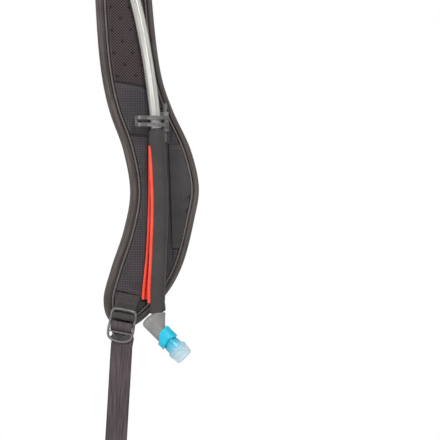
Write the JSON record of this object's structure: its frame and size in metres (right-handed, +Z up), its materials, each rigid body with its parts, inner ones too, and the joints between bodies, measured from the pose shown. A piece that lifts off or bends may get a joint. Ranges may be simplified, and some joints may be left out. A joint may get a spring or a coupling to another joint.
{
  "type": "hydration pack shoulder strap with drinking hose",
  "caption": "Padded shoulder strap of a hydration pack with a clipped, sleeved drinking hose that lies along it and swings free, ending in a bite valve, above a ladder-lock buckle and webbing.",
  "frame": {"origin": "middle of the sewn top end of the strap, where it joins the pack", "axes": "+Z up along the hanging strap, -Y out of the strap's outer face, +X towards the side that the hose swings to"},
  "size_m": [0.0992, 0.1002, 0.6026],
  "materials": {
    "foam": "matt closed-cell foam",
    "air_mesh": "knitted air mesh",
    "spacer_mesh": "perforated spacer mesh",
    "ripstop": "ripstop nylon, slight sheen",
    "edge_cloth": "brushed stretch cloth",
    "stretch_cloth": "stretch woven cloth",
    "pale_piping": "fine woven piping",
    "red_piping": "woven piping, slight sheen",
    "sleeve_cloth": "smooth knit over neoprene",
    "webbing": "woven nylon webbing",
    "clear_tube": "clear soft tube",
    "clear_silicone": "translucent silicone",
    "cyan_plastic": "satin",
    "grey_plastic": "fine matt",
    "dark_plastic": "semi gloss",
    "seal_rubber": "matt",
    "magnet": "nickel plated",
    "steel": "fine"
  },
  "bodies": {
    "strap": {"foam_core": "foam", "back_lining": "air_mesh", "mesh_panel": "spacer_mesh", "ripstop_panel_upper": "ripstop", "ripstop_panel_lower": "ripstop", "tip_panel": "ripstop", "edge_binding": "edge_cloth", "edge_piping": "pale_piping", "stretch_pocket": "stretch_cloth", "top_tab": "webbing", "strap_magnet": "magnet", "strap_piping": "red_piping", "drink_tube": "clear_tube", "hose_keeper": "webbing", "quick_connect_plug": "grey_plastic", "plug_seal": "seal_rubber", "clip_rail": "dark_plastic", "anchor_webbing": "webbing"},
    "clip_slider": {"clip_slider": "dark_plastic", "clip_pin": "steel"},
    "clip_loop": {"clip_loop": "dark_plastic"},
    "hose_cuff": {"sleeve_cuff": "sleeve_cloth", "tube_in_cuff": "clear_tube"},
    "hose_1": {"sleeve_segment_1": "sleeve_cloth", "tube_segment_1": "clear_tube", "sleeve_piping_1": "red_piping"},
    "hose_2": {"sleeve_segment_2": "sleeve_cloth", "tube_segment_2": "clear_tube", "sleeve_piping_2": "red_piping"},
    "hose_3": {"sleeve_segment_3": "sleeve_cloth", "tube_segment_3": "clear_tube", "sleeve_piping_3": "red_piping"},
    "hose_4": {"sleeve_segment_4": "sleeve_cloth", "tube_segment_4": "clear_tube", "sleeve_piping_4": "red_piping"},
    "hose_5": {"sleeve_segment_5": "sleeve_cloth", "tube_segment_5": "clear_tube", "sleeve_piping_5": "red_piping", "sleeve_magnet": "magnet", "elbow_body": "grey_plastic", "valve_core": "cyan_plastic"},
    "valve": {"shutoff_collar": "cyan_plastic", "bite_valve": "clear_silicone"},
    "buckle": {"ladder_lock": "dark_plastic", "anchor_loop": "webbing", "webbing_wrap": "webbing"},
    "webbing_tail": {"webbing_tail": "webbing"},
    "webbing_load": {"webbing_load": "webbing"}
  },
  "joints": [
    {"name": "slider_slide", "type": "slide", "parent": "strap", "child": "clip_slider", "axis": [0, 0, 1], "range_m": [0, 0.005]},
    {"name": "clip_loop_hinge", "type": "hinge", "parent": "clip_slider", "child": "clip_loop", "pos_m": [0.0439, -0.09001, -0.2268], "axis": [0, 0, 1], "range_deg": [0, 95]},
    {"name": "hose_lift", "type": "hinge", "parent": "strap", "child": "hose_cuff", "pos_m": [0.0359, -0.09186, -0.24258], "axis": [-1, 0, 0], "range_deg": [0, 30], "stiffness_Nm_per_rad": 0.05, "springref_deg": -14.32},
    {"name": "hose_swing", "type": "hinge", "parent": "hose_cuff", "child": "hose_1", "pos_m": [0.0359, -0.09186, -0.24258], "axis": [0, -1, 0], "range_deg": [0, 27]},
    {"name": "hose_flex_1", "type": "hinge", "parent": "hose_1", "child": "hose_2", "pos_m": [0.03838, -0.09205, -0.28113], "axis": [0, -1, 0], "range_deg": [0, 13]},
    {"name": "hose_flex_2", "type": "hinge", "parent": "hose_2", "child": "hose_3", "pos_m": [0.03912, -0.09154, -0.31335], "axis": [0, -1, 0], "range_deg": [0, 13]},
    {"name": "hose_flex_3", "type": "hinge", "parent": "hose_3", "child": "hose_4", "pos_m": [0.0383, -0.09049, -0.34562], "axis": [0, -1, 0], "range_deg": [0, 13]},
    {"name": "hose_flex_4", "type": "hinge", "parent": "hose_4", "child": "hose_5", "pos_m": [0.03709, -0.08887, -0.37599], "axis": [0, -1, 0], "range_deg": [0, 13]},
    {"name": "valve_twist", "type": "hinge", "parent": "hose_5", "child": "valve", "pos_m": [0.027, -0.08696, -0.4088], "axis": [0.7071, 0, -0.7071], "range_deg": [0, 90]},
    {"name": "buckle_tilt", "type": "hinge", "parent": "strap", "child": "buckle", "pos_m": [0.00675, -0.0822, -0.39664], "axis": [-0.9816, 0, 0.1908], "range_deg": [0, 50]},
    {"name": "tail_swing", "type": "hinge", "parent": "buckle", "child": "webbing_tail", "pos_m": [0.00329, -0.0827, -0.43224], "axis": [-0.9982, 0, 0.0593], "range_deg": [0, 60]},
    {"name": "load_swing", "type": "hinge", "parent": "buckle", "child": "webbing_load", "pos_m": [0.00329, -0.08105, -0.43224], "axis": [-0.9982, 0, 0.0593], "range_deg": [-60, 0]}
  ],
  "couplings": [
    {"joint": "hose_flex_1", "follows": "hose_swing", "ratio": 0.463},
    {"joint": "hose_flex_2", "follows": "hose_swing", "ratio": 0.463},
    {"joint": "hose_flex_3", "follows": "hose_swing", "ratio": 0.463},
    {"joint": "hose_flex_4", "follows": "hose_swing", "ratio": 0.463}
  ]
}
